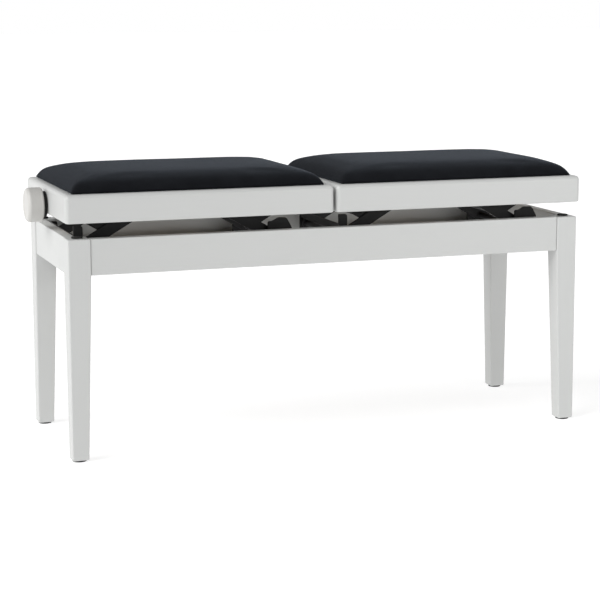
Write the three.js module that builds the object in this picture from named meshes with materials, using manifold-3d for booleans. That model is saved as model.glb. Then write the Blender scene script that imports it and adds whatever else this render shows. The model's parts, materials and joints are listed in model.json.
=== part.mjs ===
// Duet piano bench: one wooden base carrying two upholstered seats side by side.
// Each seat is raised by its own steel linkage, worked by a threaded spindle and a hand knob.
// Units are millimetres, +Z is up, and the origin is on the floor under the middle of the bench.
// The front is towards -Y and the left end is towards -X.

import * as THREE from 'three';
import { ConvexGeometry } from 'three/addons/geometries/ConvexGeometry.js';
import { mergeVertices } from 'three/addons/utils/BufferGeometryUtils.js';
import Module from 'manifold-3d';

const wasm = await Module();
wasm.setup();

// ---------------------------------------------------------------- driving dimensions

const FIT = 0.3;                 // gap left between pieces that touch

// Wooden base
const BASE_LENGTH = 992;
const BASE_DEPTH = 342;
const GLIDE_HEIGHT = 3;
const GLIDE_RADIUS = 13;
const LEG_TOP_Z = 400.3;
const LEG_SIZE = 40.6;           // square section beside the aprons
const LEG_FOOT = 30.3;           // square section at the foot, outer faces stay upright
const APRON_HEIGHT = 65;
const APRON_THICKNESS = 20;
const APRON_SETBACK = 2;         // apron faces lie behind the leg faces
const STRETCHER_THICKNESS = 20;
const STRETCHER_HEIGHT = 25;
const STRETCHER_TOP_Z = 366;
const PAD_RADIUS = 10;
const PAD_HEIGHT = 3;

// Seats
const SEAT_LENGTH = 497.5;
const SEAT_DEPTH = 351;
const SEAT_GAP = 5;              // between the two seats
const SEAT_BOTTOM_Z = 428.5;
const SEAT_RAIL_HEIGHT = 50.3;
const SEAT_RAIL_THICKNESS = 20;
const BOARD_THICKNESS = 10;
const CUSHION_MARGIN = 13.2;     // rail top left bare around the cushion
const CUSHION_CROWN = 34;
const CUSHION_EDGE = 5;          // upright edge of the cushion before it crowns
const CUSHION_FULLNESS = [5, 3.5];   // along X and Y, a higher power gives a flatter top

// Linkage: a full arm and a half-length link jointed to the arm's middle. Linkage a leans
// to the right and linkage b leans to the left, so the two mirror each other.
const ARM_LENGTH = 128;          // between pivots
const REST_ANGLE = THREE.MathUtils.degToRad(30);
const LOWER_PIVOT_Z = 375;
const PIVOT_X = [-210, 166];     // fixed pivots of the two linkages, from the seat's middle
const LEAN = [1, -1];            // the way each linkage's arm leans along X
const BAR_WIDTH = 22;
const BAR_THICKNESS = 4;
const ARM_Y = 100;               // middle planes of the parts, on both sides of the seat
const LINK_Y = 95;
const UPPER_RAIL_Y = 105;
const LOWER_RAIL_Y = 111;
const PIN_RADIUS = 5;
const AXLE_RADIUS = 6;           // lower axle of each arm
const PIVOT_PLAY = 0.4;
const PIN_OVERHANG = 1;          // pins stand past the rails' far faces
const LINK_TIE = 0.6;            // place of the link's tie rod, as a share from its top pivot
const TIE_RADIUS = 4;
const LIFT_LOW = THREE.MathUtils.degToRad(-12.1);
const LIFT_HIGH = THREE.MathUtils.degToRad(31);

// Spindle drive
const SPINDLE_Z = 445;
const SPINDLE_RADIUS = 6;
const SPINDLE_TAIL = 20;         // thread left beyond the nut at the lowest setting
const COLLAR_RADIUS = 10;
const COLLAR_WIDTH = 2.5;        // retaining ring inside the seat rail
const COLLAR_CLEARANCE = 0.5;
const KNOB_RADIUS = 31.5;
const KNOB_LENGTH = 29.5;
const KNOB_GAP = 7.2;            // from the seat rail to the knob
const KNOB_BORE_DEPTH = 18;
const BORE_END_GAP = 1;          // between the spindle's end and the bottom of that bore
const KNOB_RIM = 7;              // roundness of the knob's outer rim
const KNOB_RIM_STEPS = 3;
const KNOB_CHAMFER = [4, 3];     // along and across, at the rim beside the seat
const BUSH_RADIUS = 24;
const NUT_BLOCK = [18, 30, 28];
const NUT_RADIUS = 9.5;

// Flat sides that stand for a circle
const PIN_SIDES = 12;
const ROUND_SIDES = 16;
const WIDE_SIDES = 24;
const KNOB_SIDES = 28;

// ---------------------------------------------------------------- derived places

const SEAT_TOP_Z = SEAT_BOTTOM_Z + SEAT_RAIL_HEIGHT;
const SEAT_MIDDLE_X = (SEAT_LENGTH + SEAT_GAP) / 2;
const INNER_X = BASE_LENGTH / 2 - APRON_SETBACK - APRON_THICKNESS;
const INNER_Y = BASE_DEPTH / 2 - APRON_SETBACK - APRON_THICKNESS;
const APRON_BOTTOM_Z = LEG_TOP_Z - APRON_HEIGHT;
const UPPER_PIVOT_Z = LOWER_PIVOT_Z + ARM_LENGTH * Math.sin(REST_ANGLE);
const ARM_REACH = ARM_LENGTH * Math.cos(REST_ANGLE);
const REACH_LOW = ARM_LENGTH * Math.cos(REST_ANGLE + LIFT_LOW);
const REACH_HIGH = ARM_LENGTH * Math.cos(REST_ANGLE + LIFT_HIGH);
const PIN_END_Y = UPPER_RAIL_Y + BAR_THICKNESS / 2 + PIN_OVERHANG;
const AXLE_END_Y = LOWER_RAIL_Y + BAR_THICKNESS / 2 + PIN_OVERHANG;

// ---------------------------------------------------------------- materials

const paint = (color, roughness, metalness = 0) =>
  new THREE.MeshStandardMaterial({ color, roughness, metalness });

const MATERIALS = {
  lacquer: () => paint(0xe6e7e5, 0.42),
  plywood: () => paint(0xb99a6b, 0.7),
  upholstery: () => paint(0x1b1d21, 0.75),
  blackSteel: () => paint(0x1c1c1c, 0.45, 0.2),
  brightSteel: () => paint(0xb4b6b8, 0.3, 1),
  bronze: () => paint(0xa5824a, 0.4, 1),
  rubber: () => paint(0x1a1a1a, 0.85),
  plastic: () => paint(0x222222, 0.6),
  knob: () => paint(0xe3e2de, 0.38),
};

const bench = new THREE.Group();

function addPiece(name, geometry, material, place = [0, 0, 0]) {
  const mesh = new THREE.Mesh(geometry, MATERIALS[material]());
  mesh.name = name;
  mesh.position.set(...place);
  bench.add(mesh);
  return mesh;
}

// ---------------------------------------------------------------- solid helpers

function toSolid(geometry) {
  const bare = geometry.clone();
  bare.deleteAttribute('normal');
  bare.deleteAttribute('uv');
  const merged = mergeVertices(bare, 1e-4);
  return new wasm.Manifold(new wasm.Mesh({
    numProp: 3,
    vertProperties: new Float32Array(merged.attributes.position.array),
    triVerts: new Uint32Array(merged.index.array),
  }));
}

function toGeometry(solid) {
  const mesh = solid.getMesh();
  const geometry = new THREE.BufferGeometry();
  geometry.setAttribute('position', new THREE.BufferAttribute(mesh.vertProperties, 3));
  geometry.setIndex(new THREE.BufferAttribute(mesh.triVerts, 1));
  return geometry;
}

const join = (...geometries) =>
  toGeometry(geometries.map(toSolid).reduce((whole, piece) => whole.add(piece)));

const cut = (geometry, ...tools) =>
  toGeometry(tools.map(toSolid).reduce((whole, tool) => whole.subtract(tool), toSolid(geometry)));

// A box between two corners
function block([x0, y0, z0], [x1, y1, z1]) {
  const geometry = new THREE.BoxGeometry(x1 - x0, y1 - y0, z1 - z0);
  return geometry.translate((x0 + x1) / 2, (y0 + y1) / 2, (z0 + z1) / 2);
}

// A round rod across the bench, from y0 to y1
function rodAcross(radius, x, z, y0, y1) {
  const geometry = new THREE.CylinderGeometry(radius, radius, y1 - y0, PIN_SIDES);
  return geometry.translate(x, (y0 + y1) / 2, z);
}

// A body turned about the X axis from points of (radius, distance along X)
function turnedAlongX(profile, sides = WIDE_SIDES) {
  const points = profile.map(([radius, along]) => new THREE.Vector2(radius, along));
  return new THREE.LatheGeometry(points, sides).rotateZ(-Math.PI / 2);
}

// A plate drawn in X and Z, standing in the plane y = middle
function uprightPlate(shape, middle, thickness) {
  const options = { depth: thickness, bevelEnabled: false, curveSegments: 6 };
  const geometry = new THREE.ExtrudeGeometry(shape, options).rotateX(Math.PI / 2);
  return geometry.translate(0, middle + thickness / 2, 0);
}

function roundHole(x, z, radius) {
  return new THREE.Path().absarc(x, z, radius, 0, 2 * Math.PI, true);
}

// A slot with round ends whose end centres are at (x0, z) and (x1, z)
function slotHole(x0, x1, z, radius) {
  const path = new THREE.Path();
  path.absarc(x0, z, radius, -Math.PI / 2, Math.PI / 2, true);
  path.absarc(x1, z, radius, Math.PI / 2, -Math.PI / 2, true);
  path.closePath();
  return path;
}

// A flat bar with round ends along +X, from its first pivot at the origin
function flatBar(length, middle, holes) {
  const radius = BAR_WIDTH / 2;
  const shape = new THREE.Shape();
  shape.absarc(0, 0, radius, Math.PI / 2, 3 * Math.PI / 2, false);
  shape.absarc(length, 0, radius, -Math.PI / 2, Math.PI / 2, false);
  shape.closePath();
  shape.holes.push(...holes.map((x) => roundHole(x, 0, PIN_RADIUS + PIVOT_PLAY)));
  return uprightPlate(shape, middle, BAR_THICKNESS);
}

// ---------------------------------------------------------------- wooden base

function legGeometry(sideX, sideY) {
  const outerX = sideX * BASE_LENGTH / 2;
  const outerY = sideY * BASE_DEPTH / 2;
  const corners = (size, z) => [0, 1].flatMap((i) => [0, 1].map((j) =>
    new THREE.Vector3(outerX - sideX * size * i, outerY - sideY * size * j, z)));
  return new ConvexGeometry([
    ...corners(LEG_FOOT, GLIDE_HEIGHT),
    ...corners(LEG_SIZE, APRON_BOTTOM_Z - FIT),
    ...corners(LEG_SIZE, LEG_TOP_Z),
  ]);
}

for (const [sideY, depthName] of [[-1, 'front'], [1, 'rear']]) {
  for (const [sideX, sideName] of [[-1, 'left'], [1, 'right']]) {
    const corner = `${depthName}_${sideName}`;
    addPiece(`leg_${corner}`, legGeometry(sideX, sideY), 'lacquer');
    const foot = new THREE.CylinderGeometry(
      GLIDE_RADIUS, GLIDE_RADIUS, GLIDE_HEIGHT - FIT, ROUND_SIDES);
    addPiece(`glide_${corner}`, foot.rotateX(Math.PI / 2), 'plastic', [
      sideX * (BASE_LENGTH - LEG_FOOT) / 2,
      sideY * (BASE_DEPTH - LEG_FOOT) / 2,
      (GLIDE_HEIGHT - FIT) / 2,
    ]);
    const pad = new THREE.CylinderGeometry(
      PAD_RADIUS, PAD_RADIUS, PAD_HEIGHT - FIT, ROUND_SIDES);
    addPiece(`stop_pad_${corner}`, pad.rotateX(Math.PI / 2), 'rubber', [
      sideX * (BASE_LENGTH - LEG_SIZE) / 2,
      sideY * (BASE_DEPTH - LEG_SIZE) / 2,
      LEG_TOP_Z + (PAD_HEIGHT + FIT) / 2,
    ]);
  }
  const halfLength = BASE_LENGTH / 2 - LEG_SIZE - FIT;
  const longApron = new THREE.BoxGeometry(2 * halfLength, APRON_THICKNESS, APRON_HEIGHT);
  addPiece(`apron_${depthName}`, longApron, 'lacquer', [
    0, sideY * (INNER_Y + APRON_THICKNESS / 2), LEG_TOP_Z - APRON_HEIGHT / 2]);
}

for (const [sideX, sideName] of [[-1, 'left'], [1, 'right']]) {
  const halfDepth = BASE_DEPTH / 2 - LEG_SIZE - FIT;
  const endApron = new THREE.BoxGeometry(APRON_THICKNESS, 2 * halfDepth, APRON_HEIGHT);
  addPiece(`apron_${sideName}`, endApron, 'lacquer', [
    sideX * (INNER_X + APRON_THICKNESS / 2), 0, LEG_TOP_Z - APRON_HEIGHT / 2]);
}

addPiece('stretcher_middle', block(
  [-STRETCHER_THICKNESS / 2, -INNER_Y + FIT, STRETCHER_TOP_Z - STRETCHER_HEIGHT],
  [STRETCHER_THICKNESS / 2, INNER_Y - FIT, STRETCHER_TOP_Z]), 'lacquer');

// ---------------------------------------------------------------- steel rails

// Lower rail: a pressed Z section with a low web, which rises into a bracket around each arm's
// lower axle. The left bracket ends in a rounded ear, taller on the front rail.
const RAIL_END = INNER_X - SEAT_MIDDLE_X - FIT;
const RAIL_FLANGE_Z = 340;
const LOW_WEB_Z = 360;
const LEFT_BRACKET_Z = 389;
const LEFT_BRACKET_X = [-190, -178];   // right edge at its top and at its foot
const EAR_TOP_Z = [417, 399];          // front, rear
const EAR_WIDTH = 17;
const EAR_CORNER = 5;
const RIGHT_BRACKET = [          // outline from its right foot round to its left foot, as X and Z
  [193, LOW_WEB_Z],
  [188, 396],
  [180, 411],
  [176, 416],
  [160, 416],
  [150, 410],
  [141, 410],
  [141, LOW_WEB_Z],
];
const FLANGE_HALF_LENGTH = 203;
const LIP_HEIGHT = 16;

function lowerWebShape(earTop) {
  const earEnd = -RAIL_END + EAR_WIDTH;
  const shape = new THREE.Shape();
  shape.moveTo(-RAIL_END, RAIL_FLANGE_Z);
  shape.lineTo(RAIL_END, RAIL_FLANGE_Z);
  shape.lineTo(RAIL_END, LOW_WEB_Z);
  RIGHT_BRACKET.forEach(([x, z]) => shape.lineTo(x, z));
  shape.lineTo(LEFT_BRACKET_X[1], LOW_WEB_Z);
  shape.lineTo(LEFT_BRACKET_X[0], LEFT_BRACKET_Z);
  shape.lineTo(earEnd, LEFT_BRACKET_Z);
  shape.absarc(earEnd - EAR_CORNER, earTop - EAR_CORNER, EAR_CORNER, 0, Math.PI / 2, false);
  shape.lineTo(-RAIL_END, earTop);
  shape.closePath();
  for (const x of PIVOT_X) {
    shape.holes.push(roundHole(x, LOWER_PIVOT_Z, AXLE_RADIUS + PIVOT_PLAY));
  }
  return shape;
}

function lowerRail(sideY) {
  const web = lowerWebShape(EAR_TOP_Z[sideY < 0 ? 0 : 1]);
  const outer = INNER_Y - FIT;
  const webInner = LOWER_RAIL_Y - BAR_THICKNESS / 2;
  const low = RAIL_FLANGE_Z;
  const span = (y0, y1) => [Math.min(sideY * y0, sideY * y1), Math.max(sideY * y0, sideY * y1)];
  const [flangeLow, flangeHigh] = span(webInner, outer);
  const [lipLow, lipHigh] = span(outer - BAR_THICKNESS, outer);
  return join(
    uprightPlate(web, sideY * LOWER_RAIL_Y, BAR_THICKNESS),
    block([-FLANGE_HALF_LENGTH, flangeLow, low], [FLANGE_HALF_LENGTH, flangeHigh, low + BAR_THICKNESS]),
    block([-FLANGE_HALF_LENGTH, lipLow, low], [FLANGE_HALF_LENGTH, lipHigh, low + LIP_HEIGHT]),
  );
}

// Cross plate tying the ears of the front and rear lower rails
const CROSS_PLATE_Z = [385, 399];
const CROSS_PLATE_THICKNESS = 3;
const CROSS_PLATE_INSET = 1;     // behind the rails' left ends

function crossPlate() {
  const reach = LOWER_RAIL_Y - BAR_THICKNESS / 2 - FIT;
  const outerX = -RAIL_END + CROSS_PLATE_INSET;
  return block(
    [outerX, -reach, CROSS_PLATE_Z[0]],
    [outerX + CROSS_PLATE_THICKNESS, reach, CROSS_PLATE_Z[1]],
  );
}

// Upper rail: an angle under the seat board, with a hole for each link's top pin
// and a slot for the sliding pin at the top of each arm
const UPPER_RAIL_X = [-222, 226];
const UPPER_RAIL_BOTTOM_Z = 429;
const UPPER_RAIL_TOP_Z = SEAT_TOP_Z - BOARD_THICKNESS - 2 * FIT;
const UPPER_FLANGE_WIDTH = 20;
const SLOT_SPARE = 0.8;

function upperRail(sideY) {
  const [x0, x1] = UPPER_RAIL_X;
  const shape = new THREE.Shape();
  shape.moveTo(x0, UPPER_RAIL_BOTTOM_Z);
  shape.lineTo(x1, UPPER_RAIL_BOTTOM_Z);
  shape.lineTo(x1, UPPER_RAIL_TOP_Z);
  shape.lineTo(x0, UPPER_RAIL_TOP_Z);
  shape.closePath();
  const radius = PIN_RADIUS + PIVOT_PLAY;
  PIVOT_X.forEach((x, index) => {
    const ends = [
      x + LEAN[index] * (REACH_HIGH - SLOT_SPARE),
      x + LEAN[index] * (REACH_LOW + SLOT_SPARE),
    ];
    shape.holes.push(roundHole(x, UPPER_PIVOT_Z, radius));
    shape.holes.push(slotHole(Math.min(...ends), Math.max(...ends), UPPER_PIVOT_Z, radius));
  });
  const inner = UPPER_RAIL_Y - BAR_THICKNESS / 2;
  const outer = UPPER_RAIL_Y + BAR_THICKNESS / 2 + UPPER_FLANGE_WIDTH;
  const [yLow, yHigh] = sideY < 0 ? [-outer, -inner] : [inner, outer];
  return join(
    uprightPlate(shape, sideY * UPPER_RAIL_Y, BAR_THICKNESS),
    block([x0, yLow, UPPER_RAIL_TOP_Z - BAR_THICKNESS], [x1, yHigh, UPPER_RAIL_TOP_Z]),
  );
}

// ---------------------------------------------------------------- linkage

// Arm frame: two full bars, the lower axle and the middle pin, lying along +X. The driven arm
// hangs on the carriage's pin, and the other arm has a sliding pin of its own.
function armFrame(isDriven) {
  const slidingPin = rodAcross(PIN_RADIUS, ARM_LENGTH, 0, -PIN_END_Y, PIN_END_Y);
  return join(
    flatBar(ARM_LENGTH, -ARM_Y, isDriven ? [ARM_LENGTH] : []),
    flatBar(ARM_LENGTH, ARM_Y, isDriven ? [ARM_LENGTH] : []),
    rodAcross(AXLE_RADIUS, 0, 0, -AXLE_END_Y, AXLE_END_Y),
    rodAcross(PIN_RADIUS, ARM_LENGTH / 2, 0, -ARM_Y, ARM_Y),
    ...(isDriven ? [] : [slidingPin]),
  );
}

// Link frame: two half bars from the arm's middle pin to the seat, with stub pins and a tie rod
function linkFrame() {
  const length = ARM_LENGTH / 2;
  const stub = (y0, y1) => rodAcross(PIN_RADIUS, length, 0, y0, y1);
  return join(
    flatBar(length, -LINK_Y, [0]),
    flatBar(length, LINK_Y, [0]),
    rodAcross(TIE_RADIUS, length * (1 - LINK_TIE), 0, -LINK_Y, LINK_Y),
    stub(-PIN_END_Y, -LINK_Y),
    stub(LINK_Y, PIN_END_Y),
  );
}

// Carriage: the driven arm's sliding pin and the block on it that holds the nut
function carriage(nutX) {
  const [sizeX, sizeY, sizeZ] = NUT_BLOCK;
  const whole = join(
    rodAcross(PIN_RADIUS, nutX, UPPER_PIVOT_Z, -PIN_END_Y, PIN_END_Y),
    block([nutX - sizeX / 2, -sizeY / 2, SPINDLE_Z - sizeZ / 2],
      [nutX + sizeX / 2, sizeY / 2, SPINDLE_Z + sizeZ / 2]),
  );
  const radius = NUT_RADIUS + FIT;
  const bore = new THREE.CylinderGeometry(radius, radius, 2 * sizeX, ROUND_SIDES);
  return cut(whole, bore.rotateZ(Math.PI / 2).translate(nutX, 0, SPINDLE_Z));
}

function spindleNut(nutX) {
  const half = NUT_BLOCK[0] / 2;
  const inner = SPINDLE_RADIUS + FIT;
  const ring = [[inner, -half], [NUT_RADIUS, -half], [NUT_RADIUS, half], [inner, half], [inner, -half]];
  return turnedAlongX(ring, ROUND_SIDES).translate(nutX, 0, SPINDLE_Z);
}

// ---------------------------------------------------------------- spindle and knob

// All three are drawn for a knob at the -X end of a seat, with x = 0 on the rail's outer face
function spindle(reach) {
  const inside = SEAT_RAIL_THICKNESS + COLLAR_CLEARANCE;
  const outerEnd = -KNOB_GAP - KNOB_BORE_DEPTH + BORE_END_GAP;
  return turnedAlongX([
    [0, outerEnd],
    [SPINDLE_RADIUS, outerEnd],
    [SPINDLE_RADIUS, inside],
    [COLLAR_RADIUS, inside],
    [COLLAR_RADIUS, inside + COLLAR_WIDTH],
    [SPINDLE_RADIUS, inside + COLLAR_WIDTH],
    [SPINDLE_RADIUS, reach],
    [0, reach],
  ], ROUND_SIDES);
}

function knob() {
  const inner = -KNOB_GAP;
  const outer = -KNOB_GAP - KNOB_LENGTH;
  const bore = SPINDLE_RADIUS + FIT;
  const profile = [[0, outer]];
  for (let step = 0; step <= KNOB_RIM_STEPS; step += 1) {
    const angle = step / KNOB_RIM_STEPS * Math.PI / 2;
    profile.push([
      KNOB_RADIUS - KNOB_RIM * (1 - Math.sin(angle)),
      outer + KNOB_RIM * (1 - Math.cos(angle)),
    ]);
  }
  profile.push([KNOB_RADIUS, inner - KNOB_CHAMFER[0]]);
  profile.push([KNOB_RADIUS - KNOB_CHAMFER[1], inner]);
  profile.push([bore, inner]);
  profile.push([bore, inner - KNOB_BORE_DEPTH]);
  profile.push([0, inner - KNOB_BORE_DEPTH]);
  return turnedAlongX(profile, KNOB_SIDES);
}

function bush() {
  const bore = SPINDLE_RADIUS + FIT;
  const [near, far] = [-FIT, -KNOB_GAP + FIT];
  return turnedAlongX([
    [bore, far], [BUSH_RADIUS, far], [BUSH_RADIUS, near], [bore, near], [bore, far],
  ]);
}

// ---------------------------------------------------------------- seat

function seatRails(unit) {
  const halfLength = SEAT_LENGTH / 2;
  const halfDepth = SEAT_DEPTH / 2;
  for (const [sideY, name] of [[-1, 'front'], [1, 'rear']]) {
    const rail = new THREE.BoxGeometry(SEAT_LENGTH, SEAT_RAIL_THICKNESS, SEAT_RAIL_HEIGHT);
    addPiece(`${unit.name}_seat_rail_${name}`, rail, 'lacquer', [
      unit.x, sideY * (halfDepth - SEAT_RAIL_THICKNESS / 2), SEAT_TOP_Z - SEAT_RAIL_HEIGHT / 2]);
  }
  const reach = halfDepth - SEAT_RAIL_THICKNESS - FIT;
  for (const [sideX, name] of [[unit.knobSide, 'outer'], [-unit.knobSide, 'inner']]) {
    const x = sideX * (halfLength - SEAT_RAIL_THICKNESS / 2);
    let rail = new THREE.BoxGeometry(SEAT_RAIL_THICKNESS, 2 * reach, SEAT_RAIL_HEIGHT);
    rail.translate(x, 0, SEAT_TOP_Z - SEAT_RAIL_HEIGHT / 2);
    if (name === 'outer') {
      const radius = SPINDLE_RADIUS + FIT;
      const bore = new THREE.CylinderGeometry(
        radius, radius, 3 * SEAT_RAIL_THICKNESS, ROUND_SIDES);
      rail = cut(rail, bore.rotateZ(Math.PI / 2).translate(x, 0, SPINDLE_Z));
    }
    addPiece(`${unit.name}_seat_rail_${name}`, rail, 'lacquer', [unit.x, 0, 0]);
  }
}

// Crowned cushion: an upright edge, then a dome that is full near the edges
function cushion() {
  const halfX = SEAT_LENGTH / 2 - CUSHION_MARGIN;
  const halfY = SEAT_DEPTH / 2 - CUSHION_MARGIN;
  const stepsX = 14;
  const stepsY = 10;
  const spread = (i, n) => Math.sin((i / n - 0.5) * Math.PI);   // rows crowd towards the edges
  const fullness = (u, power) => Math.sqrt(Math.max(0, 1 - Math.abs(u) ** power));
  const bottom = SEAT_TOP_Z + FIT;
  const points = [];
  const faces = [];
  for (const layer of [0, 1]) {
    for (let i = 0; i <= stepsX; i += 1) {
      for (let j = 0; j <= stepsY; j += 1) {
        const [u, v] = [spread(i, stepsX), spread(j, stepsY)];
        const dome = fullness(u, CUSHION_FULLNESS[0]) * fullness(v, CUSHION_FULLNESS[1]);
        const rise = CUSHION_EDGE + (CUSHION_CROWN - CUSHION_EDGE) * dome;
        points.push(u * halfX, v * halfY, bottom + layer * rise);
      }
    }
  }
  const row = stepsY + 1;
  const layerSize = (stepsX + 1) * row;
  const at = (layer, i, j) => layer * layerSize + i * row + j;
  const quad = (a, b, c, d) => faces.push(a, b, c, a, c, d);
  for (let i = 0; i < stepsX; i += 1) {
    for (let j = 0; j < stepsY; j += 1) {
      quad(at(1, i, j), at(1, i + 1, j), at(1, i + 1, j + 1), at(1, i, j + 1));
      quad(at(0, i, j), at(0, i, j + 1), at(0, i + 1, j + 1), at(0, i + 1, j));
    }
    quad(at(0, i, 0), at(0, i + 1, 0), at(1, i + 1, 0), at(1, i, 0));
    quad(at(0, i + 1, stepsY), at(0, i, stepsY), at(1, i, stepsY), at(1, i + 1, stepsY));
  }
  for (let j = 0; j < stepsY; j += 1) {
    quad(at(0, 0, j + 1), at(0, 0, j), at(1, 0, j), at(1, 0, j + 1));
    quad(at(0, stepsX, j), at(0, stepsX, j + 1), at(1, stepsX, j + 1), at(1, stepsX, j));
  }
  const geometry = new THREE.BufferGeometry();
  geometry.setAttribute('position', new THREE.BufferAttribute(new Float32Array(points), 3));
  geometry.setIndex(faces);
  return geometry;
}

function seatBoard() {
  const spareX = SEAT_LENGTH - 2 * SEAT_RAIL_THICKNESS - 2 * FIT;
  const spareY = SEAT_DEPTH - 2 * SEAT_RAIL_THICKNESS - 2 * FIT;
  const geometry = new THREE.BoxGeometry(spareX, spareY, BOARD_THICKNESS);
  return geometry.translate(0, 0, SEAT_TOP_Z - FIT - BOARD_THICKNESS / 2);
}

// ---------------------------------------------------------------- the two seat units

const UNITS = [
  { name: 'left', x: -SEAT_MIDDLE_X, knobSide: -1, driven: 0 },
  { name: 'right', x: SEAT_MIDDLE_X, knobSide: 1, driven: 1 },
];

for (const unit of UNITS) {
  const home = [unit.x, 0, 0];
  seatRails(unit);
  addPiece(`${unit.name}_seat_board`, seatBoard(), 'plywood', home);
  addPiece(`${unit.name}_cushion`, cushion(), 'upholstery', home);
  for (const [sideY, name] of [[-1, 'front'], [1, 'rear']]) {
    addPiece(`${unit.name}_lower_rail_${name}`, lowerRail(sideY), 'blackSteel', home);
    addPiece(`${unit.name}_upper_rail_${name}`, upperRail(sideY), 'blackSteel', home);
  }
  addPiece(`${unit.name}_cross_plate`, crossPlate(), 'blackSteel', home);

  PIVOT_X.forEach((pivotX, index) => {
    const label = `${unit.name}_${['a', 'b'][index]}`;
    const arm = addPiece(`${label}_arm`, armFrame(index === unit.driven), 'blackSteel',
      [unit.x + pivotX, 0, LOWER_PIVOT_Z]);
    const link = addPiece(`${label}_link`, linkFrame(), 'blackSteel',
      [unit.x + pivotX + LEAN[index] * ARM_REACH / 2, 0, (LOWER_PIVOT_Z + UPPER_PIVOT_Z) / 2]);
    const turns = [-REST_ANGLE, REST_ANGLE - Math.PI];
    [arm.rotation.y, link.rotation.y] = LEAN[index] > 0 ? turns : turns.reverse();
  });

  const pivotX = PIVOT_X[unit.driven];
  const nutX = pivotX + LEAN[unit.driven] * ARM_REACH;
  addPiece(`${unit.name}_carriage`, carriage(nutX), 'blackSteel', home);
  addPiece(`${unit.name}_spindle_nut`, spindleNut(nutX), 'bronze', home);

  // The spindle reaches past the nut at its farthest setting from the knob
  const farthest = SEAT_LENGTH / 2 - unit.knobSide * (pivotX + LEAN[unit.driven] * REACH_LOW);
  const end = [unit.x + unit.knobSide * SEAT_LENGTH / 2, 0, SPINDLE_Z];
  const drive = [
    addPiece(`${unit.name}_spindle`, spindle(farthest + SPINDLE_TAIL), 'brightSteel', end),
    addPiece(`${unit.name}_knob`, knob(), 'knob', end),
    addPiece(`${unit.name}_knob_bush`, bush(), 'rubber', end),
  ];
  if (unit.knobSide > 0) {
    drive.forEach((piece) => { piece.rotation.z = Math.PI; });
  }
}

export default bench;
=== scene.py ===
# Looks for the duet piano bench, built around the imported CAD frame.
# Units are metres in the frame's own axes: +X right, +Y rear, +Z up, floor at z = 0.
# Every piece takes its place from the CAD boxes and joints, and rides on a CAD body.

import json
import math

import bmesh
import bpy
from mathutils import Matrix, Vector, noise


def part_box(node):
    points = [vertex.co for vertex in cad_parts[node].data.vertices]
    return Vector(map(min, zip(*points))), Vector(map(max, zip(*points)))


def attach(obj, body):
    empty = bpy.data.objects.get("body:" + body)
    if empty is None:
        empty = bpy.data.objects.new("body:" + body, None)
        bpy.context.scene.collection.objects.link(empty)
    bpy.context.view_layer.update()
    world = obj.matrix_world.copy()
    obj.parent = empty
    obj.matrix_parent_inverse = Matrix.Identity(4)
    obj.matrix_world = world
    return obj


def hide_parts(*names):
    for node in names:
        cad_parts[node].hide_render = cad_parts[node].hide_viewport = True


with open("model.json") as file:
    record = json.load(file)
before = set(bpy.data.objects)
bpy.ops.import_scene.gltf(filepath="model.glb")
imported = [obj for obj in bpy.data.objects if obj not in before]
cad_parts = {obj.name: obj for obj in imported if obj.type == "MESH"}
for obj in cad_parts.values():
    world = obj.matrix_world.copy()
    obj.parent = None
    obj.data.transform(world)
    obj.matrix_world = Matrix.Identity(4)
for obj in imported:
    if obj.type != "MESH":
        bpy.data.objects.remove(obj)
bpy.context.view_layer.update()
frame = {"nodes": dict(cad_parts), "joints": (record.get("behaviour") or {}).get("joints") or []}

NODES = frame["nodes"]
JOINTS = {joint["name"]: Vector(joint["pos_m"]) for joint in frame["joints"]}
UNITS = ("left", "right")
CORNERS = [(depth, side) for depth in ("front", "rear") for side in ("left", "right")]
MM = 0.001

# ------------------------------------------------------------------ camera

CAMERA_AIM = Vector((0.0559, -0.0186, 0.2673))
CAMERA_AZIMUTH = math.radians(-20.153)
CAMERA_ELEVATION = math.radians(9.246)
CAMERA_DISTANCE = 3.528
CAMERA_LENS = 109.42
CAMERA_SHIFT = (-0.0583, -0.025)


def add_camera():
    back = Vector((
        math.sin(CAMERA_AZIMUTH) * math.cos(CAMERA_ELEVATION),
        -math.cos(CAMERA_AZIMUTH) * math.cos(CAMERA_ELEVATION),
        math.sin(CAMERA_ELEVATION),
    ))
    data = bpy.data.cameras.new("camera")
    data.sensor_width = 36
    data.lens = CAMERA_LENS
    data.shift_x, data.shift_y = CAMERA_SHIFT
    camera = bpy.data.objects.new("camera", data)
    camera.location = CAMERA_AIM + CAMERA_DISTANCE * back
    camera.rotation_euler = back.to_track_quat("Z", "Y").to_euler()
    bpy.context.scene.collection.objects.link(camera)
    bpy.context.scene.camera = camera


# ------------------------------------------------------------------ shader helpers


def new_material(name, **constants):
    """A Principled material. The constants go straight onto the shader's own sockets."""
    material = bpy.data.materials.new(name)
    material.use_nodes = True
    shader = material.node_tree.nodes["Principled BSDF"]
    for socket, value in constants.items():
        shader.inputs[socket.replace("_", " ")].default_value = value
    return material, material.node_tree, shader


def add_node(tree, kind, *links, **settings):
    """Adds a node. Links are (socket name, other socket or value) pairs."""
    node = tree.nodes.new("ShaderNode" + kind)
    for name, value in settings.items():
        setattr(node, name, value)
    for socket, source in links:
        if isinstance(source, bpy.types.NodeSocket):
            tree.links.new(source, node.inputs[socket])
        else:
            node.inputs[socket].default_value = source
    return node


def object_coordinates(tree, stretch=(1, 1, 1)):
    """Object coordinates in metres, each axis multiplied by its stretch."""
    place = add_node(tree, "TexCoord").outputs["Object"]
    return add_node(tree, "Mapping", ("Vector", place), ("Scale", stretch)).outputs["Vector"]


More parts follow.
